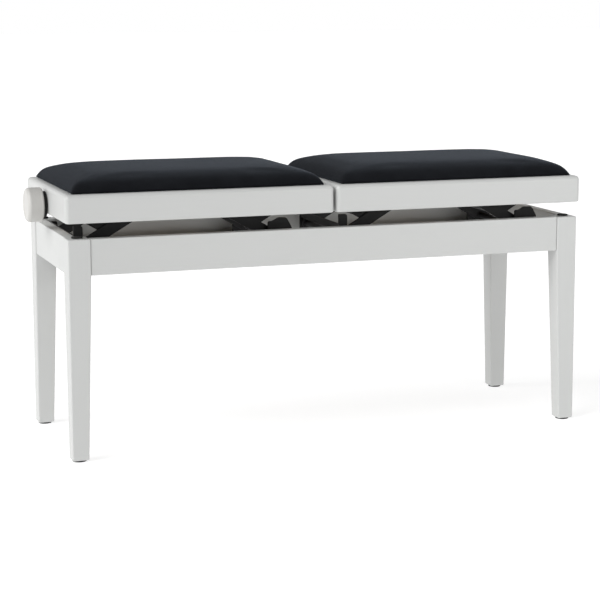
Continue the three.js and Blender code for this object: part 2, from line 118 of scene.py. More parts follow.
def noise_value(tree, scale, detail=3.0, stretch=(1, 1, 1), roughness=0.55):
    """Noise from 0 to 1, with about scale features a metre."""
    node = add_node(
        tree, "TexNoise", ("Vector", object_coordinates(tree, stretch)),
        ("Scale", scale), ("Detail", detail), ("Roughness", roughness))
    return node.outputs["Fac"]


def remap(tree, value, low, high, start=0.3, end=0.7):
    node = add_node(
        tree, "MapRange", ("Value", value), ("From Min", start), ("From Max", end),
        ("To Min", low), ("To Max", high))
    return node.outputs["Result"]


def two_colours(tree, value, dark, light, start=0.3, end=0.7):
    ramp = add_node(tree, "ValToRGB", ("Fac", value))
    ramp.color_ramp.elements[0].position = start
    ramp.color_ramp.elements[0].color = (*dark, 1)
    ramp.color_ramp.elements[1].position = end
    ramp.color_ramp.elements[1].color = (*light, 1)
    return ramp.outputs["Color"]


def add_bump(tree, shader, *layers):
    """Stacks bump layers of (height socket, strength, depth in metres)."""
    normal = None
    for height, strength, depth in layers:
        bump = add_node(tree, "Bump", ("Height", height), ("Strength", strength), ("Distance", depth))
        if normal is not None:
            tree.links.new(normal, bump.inputs["Normal"])
        normal = bump.outputs["Normal"]
    tree.links.new(normal, shader.inputs["Normal"])


# ------------------------------------------------------------------ materials

ALONG = {"x": (0.06, 1, 1), "y": (1, 0.06, 1), "z": (1, 1, 0.06)}


def lacquered_wood(axis, dark=(0.524, 0.531, 0.523), light=(0.536, 0.543, 0.535), name="lacquer"):
    """Sprayed satin lacquer: faint orange peel over wood grain that shows through a little."""
    material, tree, shader = new_material(
        f"{name}_{axis}", Coat_Weight=0.12, Coat_Roughness=0.22, Specular_IOR_Level=0.42)
    grain = noise_value(tree, 260, 5, ALONG[axis], 0.6)
    cloud = noise_value(tree, 9, 2)
    mixed = add_node(tree, "Math", (0, grain), (1, cloud), operation="ADD")
    average = add_node(tree, "Math", (0, mixed.outputs[0]), (1, 0.5), operation="MULTIPLY")
    tree.links.new(two_colours(tree, average.outputs[0], dark, light), shader.inputs["Base Color"])
    tree.links.new(remap(tree, cloud, 0.38, 0.47), shader.inputs["Roughness"])
    peel = noise_value(tree, 620, 2)
    add_bump(tree, shader, (grain, 0.04, 0.0002), (peel, 0.08, 0.00015))
    return material


def velour():
    """Black short-pile velour: nearly black head on, with a cool sheen at a glance."""
    material, tree, shader = new_material(
        "velour", Roughness=0.92, Specular_IOR_Level=0.12,
        Sheen_Weight=0.11, Sheen_Roughness=0.42, Sheen_Tint=(0.72, 0.83, 1.0, 1))
    brushed = noise_value(tree, 26, 4, (1, 1.6, 1))
    tree.links.new(
        two_colours(tree, brushed, (0.003, 0.0033, 0.0045), (0.006, 0.0067, 0.0085)),
        shader.inputs["Base Color"])
    pile = noise_value(tree, 2600, 2)
    twill = add_node(
        tree, "TexVoronoi", ("Vector", object_coordinates(tree)), ("Scale", 1300.0))
    add_bump(
        tree, shader, (pile, 0.5, 0.0004), (twill.outputs["Distance"], 0.25, 0.0003),
        (brushed, 0.15, 0.0015))
    return material


def powder_coat():
    """Semi-matt black powder coat with its fine texture."""
    material, tree, shader = new_material("powder_coat", Specular_IOR_Level=0.26)
    speckle = noise_value(tree, 1500, 3)
    tree.links.new(
        two_colours(tree, noise_value(tree, 40, 3), (0.004, 0.004, 0.0044), (0.008, 0.008, 0.0085)),
        shader.inputs["Base Color"])
    tree.links.new(remap(tree, speckle, 0.42, 0.6), shader.inputs["Roughness"])
    add_bump(tree, shader, (speckle, 0.35, 0.00025))
    return material


def machined(name, dark, light, rough, axis="x"):
    """Turned or plated metal with fine tool marks."""
    material, tree, shader = new_material(name, Metallic=1.0)
    marks = noise_value(tree, 1800, 3, {"x": (1, 0.1, 0.1), "z": (0.1, 0.1, 1)}[axis])
    stain = noise_value(tree, 60, 4)
    tree.links.new(two_colours(tree, stain, dark, light), shader.inputs["Base Color"])
    tree.links.new(remap(tree, marks, rough - 0.07, rough + 0.1), shader.inputs["Roughness"])
    add_bump(tree, shader, (marks, 0.25, 0.00008))
    return material


def matt_moulding(name, dark, light, rough):
    """Rubber or plastic straight from the mould."""
    material, tree, shader = new_material(name, Specular_IOR_Level=0.35)
    skin = noise_value(tree, 1100, 3)
    tree.links.new(
        two_colours(tree, noise_value(tree, 70, 3), dark, light), shader.inputs["Base Color"])
    tree.links.new(remap(tree, skin, rough - 0.06, rough + 0.06), shader.inputs["Roughness"])
    add_bump(tree, shader, (skin, 0.3, 0.0002))
    return material


def plywood():
    """Birch veneer on the faces and glued layers on the edges."""
    material, tree, shader = new_material("plywood", Specular_IOR_Level=0.3)
    grain = noise_value(tree, 120, 6, ALONG["x"], 0.65)
    face = two_colours(tree, grain, (0.42, 0.28, 0.15), (0.60, 0.44, 0.27))
    layers = add_node(
        tree, "TexWave", ("Vector", object_coordinates(tree)), ("Scale", 120.0),
        ("Distortion", 0.4), bands_direction="Z")
    edge = two_colours(tree, layers.outputs["Fac"], (0.26, 0.15, 0.07), (0.55, 0.40, 0.24))
    up = add_node(tree, "SeparateXYZ", ("Vector", add_node(tree, "NewGeometry").outputs["Normal"]))
    facing = add_node(tree, "Math", (0, up.outputs["Z"]), operation="ABSOLUTE")
    mixed = add_node(
        tree, "Mix", ("Factor", facing.outputs[0]), ("A", edge), ("B", face), data_type="RGBA")
    colour = [socket for socket in mixed.outputs if socket.type == "RGBA"][0]
    tree.links.new(colour, shader.inputs["Base Color"])
    tree.links.new(remap(tree, grain, 0.55, 0.72), shader.inputs["Roughness"])
    add_bump(tree, shader, (grain, 0.3, 0.0003))
    return material


WHITE = {axis: lacquered_wood(axis) for axis in ALONG}
KNOB_WHITE = lacquered_wood("z", (0.525, 0.517, 0.497), (0.55, 0.542, 0.522), "knob_lacquer")
VELOUR = velour()
BLACK_STEEL = powder_coat()
BRIGHT_STEEL = machined("zinc_steel", (0.42, 0.43, 0.44), (0.60, 0.61, 0.62), 0.32)
BRONZE = machined("bronze", (0.36, 0.23, 0.09), (0.50, 0.34, 0.15), 0.38)
RUBBER = matt_moulding("rubber", (0.012, 0.012, 0.012), (0.022, 0.022, 0.022), 0.85)
PLASTIC = matt_moulding("black_plastic", (0.014, 0.014, 0.015), (0.026, 0.026, 0.027), 0.55)
PLYWOOD = plywood()

# ------------------------------------------------------------------ mesh helpers

SHARP_ANGLE = math.radians(38)


def make_piece(name, mesh, material, body, replaces=()):
    """Turns a bmesh or a mesh into a shown piece that rides on a body."""
    if isinstance(mesh, bmesh.types.BMesh):
        data = bpy.data.meshes.new(name)
        bmesh.ops.recalc_face_normals(mesh, faces=mesh.faces)
        mesh.to_mesh(data)
        mesh.free()
    else:
        data = mesh
    data.materials.clear()
    data.materials.append(material)
    data.shade_smooth()
    data.set_sharp_from_angle(angle=SHARP_ANGLE)
    piece = bpy.data.objects.new(name, data)
    bpy.context.scene.collection.objects.link(piece)
    weighted = piece.modifiers.new("weighted", "WEIGHTED_NORMAL")
    weighted.keep_sharp = True
    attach(piece, body)
    if replaces:
        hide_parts(*replaces)
    return piece


def merged(*parts):
    """One bmesh from several."""
    whole = bmesh.new()
    for part in parts:
        data = bpy.data.meshes.new("part")
        bmesh.ops.recalc_face_normals(part, faces=part.faces)
        part.to_mesh(data)
        part.free()
        whole.from_mesh(data)
        bpy.data.meshes.remove(data)
    return whole


def axes_matrix(origin, u, v):
    """Columns u, v and u x v at an origin."""
    u, v = Vector(u).normalized(), Vector(v).normalized()
    w = u.cross(v)
    rows = [[u[i], v[i], w[i], origin[i]] for i in range(3)]
    return Matrix(rows + [[0, 0, 0, 1]])


def turning(origin, axis):
    """The matrix that takes +Z to an axis, for turned bodies."""
    return Matrix.Translation(origin) @ Vector(axis).to_track_quat("Z", "Y").to_matrix().to_4x4()


def turned(profile, matrix, sides=40, shape=None):
    """A body turned about local Z from (radius, height) points. shape(ring, angle) scales a radius."""
    mesh = bmesh.new()
    rings = []
    for index, (radius, height) in enumerate(profile):
        if radius == 0:
            rings.append([mesh.verts.new(matrix @ Vector((0, 0, height)))])
            continue
        ring = []
        for side in range(sides):
            angle = 2 * math.pi * side / sides
            reach = radius * (shape(index, angle) if shape else 1)
            point = Vector((reach * math.cos(angle), reach * math.sin(angle), height))
            ring.append(mesh.verts.new(matrix @ point))
        rings.append(ring)
    closed = profile[0][0] > 0 and profile[0] == profile[-1]
    if closed:
        for vertex in rings[-1]:
            mesh.verts.remove(vertex)
        rings[-1] = rings[0]
    for low, high in zip(rings, rings[1:]):
        for side in range(sides):
            after = (side + 1) % sides
            corners = [low[side % len(low)], low[after % len(low)],
                       high[after % len(high)], high[side % len(high)]]
            mesh.faces.new(list(dict.fromkeys(corners)))
    return mesh


def rod(start, end, radius, chamfer=0.6 * MM, sides=32):
    """A round rod with chamfered ends."""
    length = (end - start).length
    profile = [
        (0, 0), (radius - chamfer, 0), (radius, chamfer),
        (radius, length - chamfer), (radius - chamfer, length), (0, length)]
    return turned(profile, turning(start, end - start), sides)


def tube(start, end, inner, outer, chamfer=0.3 * MM, sides=40):
    """A round tube or washer with chamfered rims."""
    length = (end - start).length
    profile = [
        (inner, 0), (outer - chamfer, 0), (outer, chamfer),
        (outer, length - chamfer), (outer - chamfer, length), (inner, length), (inner, 0)]
    return turned(profile, turning(start, end - start), sides)


def weld_bead(place, axis, radius, thickness=1.3 * MM):
    """A rippled bead of weld around a rod where it meets a plate."""
    matrix = turning(place, axis)
    mesh = bmesh.new()
    sides, around = 48, 8
    grid = []
    for side in range(sides):
        angle = 2 * math.pi * side / sides
        fat = thickness * (1 + 0.16 * math.sin(12 * angle) + 0.08 * math.sin(29 * angle))
        loop = []
        for step in range(around):
            turn = 2 * math.pi * step / around
            reach = radius + fat * math.cos(turn)
            loop.append(mesh.verts.new(matrix @ Vector((
                reach * math.cos(angle), reach * math.sin(angle), fat * math.sin(turn)))))
        grid.append(loop)
    for side in range(sides):
        for step in range(around):
            after, over = (side + 1) % sides, (step + 1) % around
            mesh.faces.new((
                grid[side][step], grid[after][step], grid[after][over], grid[side][over]))
    return mesh


def arc(centre, radius, start, end, steps=8):
    """Points on an arc between two angles in degrees."""
    angles = [math.radians(start + (end - start) * i / steps) for i in range(steps + 1)]
    return [(centre[0] + radius * math.cos(a), centre[1] + radius * math.sin(a)) for a in angles]


def circle(centre, radius, steps=32):
    return arc(centre, radius, 0, 360 * (steps - 1) / steps, steps - 1)


def rounded(points, radius, steps=5):
    """A closed outline whose corners are all rounded. A point may carry its own radius."""
    outline = []
    count = len(points)
    for index, point in enumerate(points):
        corner = Vector(point[:2])
        size = point[2] if len(point) > 2 else radius
        before = Vector(points[index - 1][:2]) - corner
        after = Vector(points[(index + 1) % count][:2]) - corner
        size = min(size, before.length * 0.45, after.length * 0.45)
        start = corner + before.normalized() * size
        end = corner + after.normalized() * size
        for step in range(steps + 1):
            t = step / steps
            outline.append(tuple((1 - t) ** 2 * start + 2 * t * (1 - t) * corner + t * t * end))
    return outline


def plate(outline, holes, thickness, matrix, edge=0.4 * MM):
    """A flat plate with eased edges, its outline and holes in local X and Y, centred on local Z = 0."""
    curve = bpy.data.curves.new("plate", "CURVE")
    curve.dimensions = "2D"
    curve.fill_mode = "BOTH"
    curve.extrude = thickness / 2 - edge
    curve.bevel_depth = edge
    curve.bevel_resolution = 1
    curve.offset = -edge
    for points in [outline, *holes]:
        spline = curve.splines.new("POLY")
        spline.points.add(len(points) - 1)
        for target, point in zip(spline.points, points):
            target.co = (point[0], point[1], 0, 1)
        spline.use_cyclic_u = True
    holder = bpy.data.objects.new("plate", curve)
    bpy.context.scene.collection.objects.link(holder)
    bpy.context.view_layer.update()
    data = bpy.data.meshes.new_from_object(
        holder.evaluated_get(bpy.context.evaluated_depsgraph_get()))
    bpy.data.objects.remove(holder)
    bpy.data.curves.remove(curve)
    mesh = bmesh.new()
    mesh.from_mesh(data)
    bpy.data.meshes.remove(data)
    bmesh.ops.remove_doubles(mesh, verts=mesh.verts, dist=1e-6)
    mesh.transform(matrix)
    return mesh


def hexagonal(rings):
    """A radius scale that makes the named rings of a turned body six-sided."""
    sector = math.pi / 3

    def scale(ring, angle):
        if ring not in rings:
            return 1
        return math.cos(sector / 2) / math.cos((angle % sector) - sector / 2)

    return scale


SCREW_RADIUS = 4.6 * MM


def button_screw(place, axis, size=SCREW_RADIUS):
    """A domed screw head with a hexagon socket, its underside at place and its top towards axis."""
    height = 0.5 * size
    profile = [
        (0, 0), (size, 0), (size, 0.18 * height), (0.93 * size, 0.55 * height),
        (0.74 * size, 0.88 * height), (0.5 * size, height), (0.44 * size, 0.98 * height),
        (0.44 * size, 0.35 * height), (0, 0.3 * height)]
    return turned(profile, turning(place, axis), 24, hexagonal((6, 7)))


def copy_of(node):
    """A clean bmesh of a CAD node, its triangles joined back into flat faces."""
    mesh = bmesh.new()
    mesh.from_mesh(NODES[node].data)
    bmesh.ops.remove_doubles(mesh, verts=mesh.verts, dist=1e-5)
    bmesh.ops.dissolve_limit(
        mesh, angle_limit=math.radians(0.2), verts=mesh.verts, edges=mesh.edges)
    return mesh


def ease(mesh, chosen, radius, segments=4):
    """Rounds the chosen edges of a bmesh. chosen(a, b) looks at an edge's two end points."""
    edges = [edge for edge in mesh.edges if chosen(edge.verts[0].co, edge.verts[1].co)]
    bmesh.ops.bevel(
        mesh, geom=edges, offset=radius, offset_type="OFFSET", segments=segments, profile=0.5,
        affect="EDGES", clamp_overlap=True)


def every_edge(start, end):
    return (start - end).length > 1 * MM


# ------------------------------------------------------------------ wooden base

LEG_EASE = 2.2 * MM
APRON_EASE = 1.5 * MM


def eased_copy(node, radius, material, body):
    mesh = copy_of(node)
    ease(mesh, every_edge, radius)
    return make_piece(f"{node}_finished", mesh, material, body, (node,))


def wooden_base():
    for depth, side in CORNERS:
        eased_copy(f"leg_{depth}_{side}", LEG_EASE, WHITE["z"], "base")
    for name, axis in (("front", "x"), ("rear", "x"), ("left", "y"), ("right", "y")):
        eased_copy(f"apron_{name}", APRON_EASE, WHITE[axis], "base")
    eased_copy("stretcher_middle", 1.2 * MM, WHITE["y"], "base")


def feet_and_pads():
    for depth, side in CORNERS:
        for kind, material, slot, rounding in (
                ("glide", PLASTIC, "black_plastic", 1.0 * MM),
                ("stop_pad", RUBBER, "rubber", 0.9 * MM)):
            node = f"{kind}_{depth}_{side}"
            low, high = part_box(node)
            radius = (high.x - low.x) / 2
            height = high.z - low.z
            profile = [(0, 0)]
            profile += arc((radius - rounding, rounding), rounding, -90, 0, 4)
            profile += arc((radius - rounding, height - rounding), rounding, 0, 90, 4)
            profile += [(radius * 0.45, height), (radius * 0.4, height - 0.5 * MM), (0, height - 0.5 * MM)]
            middle = Vector(((low.x + high.x) / 2, (low.y + high.y) / 2, low.z))
            make_piece(
                f"{node}_moulded", turned(profile, turning(middle, (0, 0, 1))), material,
                "base", (node,))


# ------------------------------------------------------------------ seat frames

TOP_ROUND = 7.5 * MM
BOTTOM_ROUND = 3 * MM


def seat_frame(unit):
    """The four rails of a seat, rounded on the outside as one frame."""
    body = f"{unit}_seat"
    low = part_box(f"{unit}_seat_rail_front")[0]
    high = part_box(f"{unit}_seat_rail_rear")[1]
    tiny = 0.1 * MM

    def on_end(point):
        return abs(point.x - low.x) < tiny or abs(point.x - high.x) < tiny

    def on_side(point):
        return abs(point.y - low.y) < tiny or abs(point.y - high.y) < tiny

    def same_face(start, end, test):
        return test(start) and test(end)

    def level_edge(height):
        def chosen(start, end):
            level = abs(start.z - height) < tiny and abs(end.z - height) < tiny
            same_x = abs(start.x - end.x) < tiny and same_face(start, end, on_end)
            same_y = abs(start.y - end.y) < tiny and same_face(start, end, on_side)
            return level and (same_x or same_y)
        return chosen

    def corner_edge(start, end):
        upright = abs(start.x - end.x) < tiny and abs(start.y - end.y) < tiny
        return upright and on_end(start) and on_side(start)

    def top_or_corner(start, end):
        return level_edge(high.z)(start, end) or corner_edge(start, end)

    def bottom_outline(start, end):
        level = abs(start.z - low.z) < tiny and abs(end.z - low.z) < tiny
        inner_y = high.y - low.y - 2 * (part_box(f"{unit}_seat_rail_front")[1].y - low.y)
        middle_y = (low.y + high.y) / 2
        inside = [abs(abs(p.y - middle_y) - inner_y / 2) < tiny for p in (start, end)]
        return level and not all(inside)

    for name, axis in (("front", "x"), ("rear", "x"), ("outer", "y"), ("inner", "y")):
        node = f"{unit}_seat_rail_{name}"
        mesh = copy_of(node)
        ease(mesh, top_or_corner, TOP_ROUND, 6)
        if axis == "x":
            ease(mesh, bottom_outline, BOTTOM_ROUND, 3)
        else:
            ease(mesh, level_edge(low.z), BOTTOM_ROUND, 3)
        make_piece(f"{node}_finished", mesh, WHITE[axis], body, (node,))


def seat_board(unit):
    node = f"{unit}_seat_board"
    eased_copy(node, 0.8 * MM, PLYWOOD, f"{unit}_seat")


# ------------------------------------------------------------------ cushions

CUSHION_CELL = 5.5 * MM
CUSHION_PRESSURE = 3.0
CUSHION_FRAMES = 20
CUSHION_CAP = 1.6 * MM
CUSHION_EDGE = 6 * MM
CUSHION_FULLNESS = (5, 3.5)
PINNED_HEIGHT = 1 * MM
SMOOTH_BEFORE = 2
SMOOTH_AFTER = 10
UNEVENNESS = 0.5 * MM      # how far the top wanders, with about UNEVEN_SCALE features a metre
UNEVEN_SCALE = 9
TUCK_DEPTH = 0.7 * MM      # folds at each corner, within TUCK_REACH of it as a share of the length
TUCK_REACH = 0.13
TUCK_FOLDS = 14


def mitred(a, b):
    """The smaller of two shares, blended a little, so that the corners keep a soft ridge."""
    if min(a, b) <= 0:
        return 0.0
    return min(1.0, 2 ** 0.25 * (a ** -4 + b ** -4) ** -0.25)


def cushion_start(low, high):
    """A crowned slab on the cushion's full outline, as a closed even grid."""
    middle = (low + high) / 2
    half = (high - low) / 2
    crown = high.z - low.z
    steps_x = round(2 * half.x / CUSHION_CELL)
    steps_y = round(2 * half.y / CUSHION_CELL)
    mesh = bmesh.new()

    def fullness(u, power):
        return math.sqrt(max(0.0, 1 - abs(u) ** power))

    layers = []
    for layer in (0, 1):
        rows = []
        for i in range(steps_x + 1):
            row = []
            for j in range(steps_y + 1):
                u, v = 2 * i / steps_x - 1, 2 * j / steps_y - 1
                dome = mitred(fullness(u, CUSHION_FULLNESS[0]), fullness(v, CUSHION_FULLNESS[1]))
                rise = CUSHION_EDGE + (crown - CUSHION_EDGE) * dome
                row.append(mesh.verts.new((
                    middle.x + u * half.x, middle.y + v * half.y, low.z + layer * rise)))
            rows.append(row)
        layers.append(rows)
    bottom, top = layers
    for i in range(steps_x):
        for j in range(steps_y):
            mesh.faces.new((top[i][j], top[i + 1][j], top[i + 1][j + 1], top[i][j + 1]))
            mesh.faces.new((bottom[i][j], bottom[i][j + 1], bottom[i + 1][j + 1], bottom[i + 1][j]))
    border = [(i, 0) for i in range(steps_x)]
    border += [(steps_x, j) for j in range(steps_y)]
    border += [(i, steps_y) for i in range(steps_x, 0, -1)]
    border += [(0, j) for j in range(steps_y, 0, -1)]
    for index, (i, j) in enumerate(border):
        k, m = border[(index + 1) % len(border)]
        mesh.faces.new((bottom[i][j], bottom[k][m], top[k][m], top[i][j]))
    bmesh.ops.recalc_face_normals(mesh, faces=mesh.faces)
    return mesh


def applied(piece):
    """Replaces a piece's mesh by what its modifiers make of it."""
    bpy.context.view_layer.update()
    data = bpy.data.meshes.new_from_object(
        piece.evaluated_get(bpy.context.evaluated_depsgraph_get()))
    piece.modifiers.clear()
    piece.data = data


def smoothed(piece, rounds):
    """Relaxes a cover everywhere but along its held underside."""
    smooth = piece.modifiers.new("smooth", "SMOOTH")
    smooth.iterations = rounds
    smooth.vertex_group = "pinned"
    smooth.invert_vertex_group = True
    applied(piece)


def inflate(piece):
    """Swells the cover by cloth simulation with its underside held, and limits the movement."""
    start = [vertex.co.copy() for vertex in piece.data.vertices]
    cloth = piece.modifiers.new("cloth", "CLOTH")
    cloth.settings.quality = 6
    cloth.settings.mass = 0.3
    cloth.settings.tension_stiffness = 22
    cloth.settings.compression_stiffness = 22
    cloth.settings.shear_stiffness = 8
    cloth.settings.bending_stiffness = 1.2
    cloth.settings.effector_weights.gravity = 0
    cloth.settings.use_pressure = True
    cloth.settings.uniform_pressure_force = CUSHION_PRESSURE
    cloth.settings.vertex_group_mass = "pinned"
    cloth.point_cache.frame_start = 1
    cloth.point_cache.frame_end = CUSHION_FRAMES
    for step in range(1, CUSHION_FRAMES + 1):
        bpy.context.scene.frame_set(step)
    applied(piece)
    bpy.context.scene.frame_set(1)
    for vertex, origin in zip(piece.data.vertices, start):
        move = vertex.co - origin
        if move.length > 0:
            limited = CUSHION_CAP * math.tanh(move.length / CUSHION_CAP)
            vertex.co = origin + move * (limited / move.length)


def dress_cushion(piece, low, high, seed):
    """Settles the cover on its CAD size, with slight hand-made unevenness and corner tucks."""
    top = max(vertex.co.z for vertex in piece.data.vertices)
    lift = (high.z - low.z) / (top - low.z)
    middle = (low + high) / 2
    half = (high - low) / 2
    offset = Vector((seed * 3.7, seed * 1.3, 0))
    for vertex in piece.data.vertices:
        point = vertex.co
        point.z = low.z + (point.z - low.z) * lift
        height = (point.z - low.z) / (high.z - low.z)
        sag = noise.noise(point * UNEVEN_SCALE + offset) * UNEVENNESS * height
        u = abs(point.x - middle.x) / half.x
        v = abs(point.y - middle.y) / half.y
        near_corner = max(0.0, 1 - math.hypot(1 - u, (1 - v) * half.y / half.x) / TUCK_REACH)
        turn = math.atan2((1 - v) * half.y, (1 - u) * half.x + 1e-6)
        fold = 0.5 + 0.5 * math.cos(turn * TUCK_FOLDS)
        tuck = -TUCK_DEPTH * near_corner * fold * height * (1 - height)
        direction = Vector((
            math.copysign(1, point.x - middle.x), math.copysign(1, point.y - middle.y), 0))
        vertex.co = point + Vector((0, 0, sag)) + direction.normalized() * tuck


def cushion(unit, seed):
    node = f"{unit}_cushion"
    low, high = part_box(node)
    data = bpy.data.meshes.new(f"{unit}_seat_cushion")
    mesh = cushion_start(low, high)
    mesh.to_mesh(data)
    mesh.free()
    piece = bpy.data.objects.new(f"{unit}_seat_cushion", data)
    bpy.context.scene.collection.objects.link(piece)
    group = piece.vertex_groups.new(name="pinned")
    held = [v.index for v in data.vertices if v.co.z < low.z + PINNED_HEIGHT]
    group.add(held, 1.0, "REPLACE")
    smoothed(piece, SMOOTH_BEFORE)
    inflate(piece)
    smoothed(piece, SMOOTH_AFTER)
    dress_cushion(piece, low, high, seed)
    subdivided = piece.modifiers.new("subdivision", "SUBSURF")
    subdivided.levels = 1
    subdivided.render_levels = 1
    applied(piece)
    piece.data.materials.clear()
    piece.data.materials.append(VELOUR)
    piece.data.shade_smooth()
    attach(piece, f"{unit}_seat")
    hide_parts(node)


# ------------------------------------------------------------------ steel rails


def joint_place(unit, name):
    return JOINTS[f"{unit}_{name}"].copy()


def linkage_points(unit, side):
    """The lower, middle and top pivots of an arm, and the link's fixed pivot on the seat."""
    low = joint_place(unit, "lift" if side == "a" else "arm_b_lift")
    middle = joint_place(unit, f"link_{side}_turn")
    top = low + 2 * (middle - low)
    return low, middle, top, Vector((low.x, 0, top.z))


BEND = 2.5 * MM
STEEL = 4 * MM
AXLE_HOLE = 6.4 * MM
PIN_HOLE = 5.4 * MM
LIP_HEIGHT = 16 * MM
LOW_WEB = 20 * MM
EAR_WIDTH = 17 * MM
LEFT_BRACKET_TOP = 49 * MM
LEFT_BRACKET_FOOT = 32 * MM        # right of the left-hand axle
LEFT_BRACKET_SHOULDER = 20 * MM
FLANGE_HALF_LENGTH = 203 * MM
LIP_SCREWS = (-170, -60, 60, 170)  # millimetres from the middle of the rail
LIP_SCREW_HEIGHT = 10 * MM
UPPER_SCREWS = (0.06, 0.35, 0.65, 0.94)   # shares of the upper rail's length
UPPER_LAP = 14 * MM                # how far the upper rail's flange turns down along its web
SLOT_END = 0.8 * MM                # the slots' spare length at each end
# Outline of the right-hand bracket from its right foot round to its left foot: millimetres
# right of the seat's middle, above the low web, and the corner's radius
RIGHT_BRACKET = (
    (193, 0, 4), (188, 36, 4), (180, 51, 4), (176, 56, 3), (160, 56, 4), (150, 50, 4),
    (141, 50, 4), (141, 0, 3))


def angle_section(corner, arms, length_x, thickness):
    """A bent strip along X. corner and arms give the section's centre line in Y and Z."""
    points = [Vector(point) for point in (arms[0], corner, *arms[1:])]
    outer, inner = [], []
    for index, point in enumerate(points):
        before = (point - points[index - 1]).normalized() if index else None
        after = (points[index + 1] - point).normalized() if index + 1 < len(points) else None
        along = [d for d in (before, after) if d is not None]
        sides = [Vector((-d.y, d.x)) for d in along]
        shift = sides[0] if len(sides) == 1 else (sides[0] + sides[1])
        outer.append(point + shift * thickness / 2)
        inner.append(point - shift * thickness / 2)
    outline = [tuple(point) for point in outer] + [tuple(point) for point in reversed(inner)]
    x0, x1 = length_x
    matrix = axes_matrix(((x0 + x1) / 2, 0, 0), (0, 1, 0), (0, 0, 1))
    return plate(rounded(outline, BEND, 4), [], x1 - x0, matrix, 0.3 * MM)


def lower_rail(unit, depth):
    """A pressed Z rail: its web holds the arm axles, its lip is screwed to the apron."""
    node = f"{unit}_lower_rail_{depth}"
    low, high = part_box(node)
    sign = -1 if depth == "front" else 1
    web_y = (high.y if depth == "front" else low.y) + sign * STEEL / 2
    lip_y = (low.y if depth == "front" else high.y) - sign * STEEL / 2
    pivots = [linkage_points(unit, side)[0] for side in ("a", "b")]
    middle_x = (low.x + high.x) / 2
    x_a = pivots[0].x
    web_top = low.z + LOW_WEB
    left_top = low.z + LEFT_BRACKET_TOP
    ear_top = high.z if depth == "front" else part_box(f"{unit}_cross_plate")[1].z
    bracket = [
        (middle_x + x * MM, web_top + z * MM, radius * MM) for x, z, radius in RIGHT_BRACKET]
    outline = rounded([
        (low.x, low.z, 1 * MM), (high.x, low.z, 2 * MM), (high.x, web_top, 4 * MM), *bracket,
        (x_a + LEFT_BRACKET_FOOT, web_top, 4 * MM),
        (x_a + LEFT_BRACKET_SHOULDER, left_top, 4 * MM),
        (low.x + EAR_WIDTH, left_top, 3 * MM), (low.x + EAR_WIDTH, ear_top, 5 * MM),
        (low.x, ear_top, 1 * MM)], 2 * MM)
    holes = [circle((pivot.x, pivot.z), AXLE_HOLE) for pivot in pivots]
    upright = axes_matrix((0, web_y, 0), (1, 0, 0), (0, 0, 1))
    web = plate(outline, holes, STEEL, upright)
    flange_z = low.z + STEEL / 2
    flange = angle_section(
        (lip_y, flange_z), ((web_y, flange_z), (lip_y, low.z + LIP_HEIGHT)),
        (middle_x - FLANGE_HALF_LENGTH, middle_x + FLANGE_HALF_LENGTH), STEEL)
    make_piece(
        f"{node}_pressed", merged(web, flange), BLACK_STEEL, "base", (node,))
    heads = []
    for offset in LIP_SCREWS:
        place = Vector((
            middle_x + offset * MM, lip_y - sign * STEEL / 2, low.z + LIP_SCREW_HEIGHT))
        heads.append(button_screw(place, (0, -sign, 0)))
    make_piece(f"{node}_screws", merged(*heads), BRIGHT_STEEL, "base")


def cross_plate(unit):
    node = f"{unit}_cross_plate"
    mesh = copy_of(node)
    ease(mesh, every_edge, 0.5 * MM, 2)
    make_piece(f"{node}_pressed", mesh, BLACK_STEEL, "base", (node,))


def stadium(start, end, radius, steps=10):
    """A slot outline between two points on the same height."""
    return arc(start, radius, 90, 270, steps) + arc(end, radius, -90, 90, steps)


def upper_rail(unit, depth):
    """An angle under the seat board: holes for the links' pins, slots for the arms' pins."""
    node = f"{unit}_upper_rail_{depth}"
    low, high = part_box(node)
    sign = -1 if depth == "front" else 1
    web_y = (high.y if depth == "front" else low.y) + sign * STEEL / 2
    flange_y = low.y if depth == "front" else high.y
    outline = rounded([
        (low.x, low.z, 5 * MM), (high.x, low.z, 5 * MM), (high.x, high.z), (low.x, high.z)],
        1 * MM)
    holes = []
    for side in ("a", "b"):
        base, _, top, fixed = linkage_points(unit, side)
        reach = (top - base).length
        lean = math.copysign(1, top.x - base.x)
        angle = math.asin((top.z - base.z) / reach)
        near, far = sorted(
            base.x + lean * reach * math.cos(angle + limit) for limit in frame_limits(unit))
        holes.append(circle((fixed.x, fixed.z), PIN_HOLE))
        holes.append(stadium((near - SLOT_END, top.z), (far + SLOT_END, top.z), PIN_HOLE))
    upright = axes_matrix((0, web_y, 0), (1, 0, 0), (0, 0, 1))
    web = plate(outline, holes, STEEL, upright)
    flange_z = high.z - STEEL / 2
    flange = angle_section(
        (web_y, flange_z), ((web_y, high.z - UPPER_LAP), (flange_y, flange_z)),
        (low.x, high.x), STEEL)
    body = f"{unit}_seat"
    make_piece(
        f"{node}_pressed", merged(web, flange), BLACK_STEEL, body, (node,))
    heads = []
    for share in UPPER_SCREWS:
        x = low.x + share * (high.x - low.x)
        place = Vector((x, (web_y + flange_y) / 2 + sign * 2 * MM, high.z - STEEL))
        heads.append(button_screw(place, (0, 0, -1)))
    make_piece(f"{node}_screws", merged(*heads), BRIGHT_STEEL, body)


def frame_limits(unit):
    """The lowest and highest turn of a unit's lift joint, in radians."""
    joint = [j for j in frame["joints"] if j["name"] == f"{unit}_lift"][0]
    return [math.radians(value) for value in joint["range_deg"]]


# ------------------------------------------------------------------ linkage

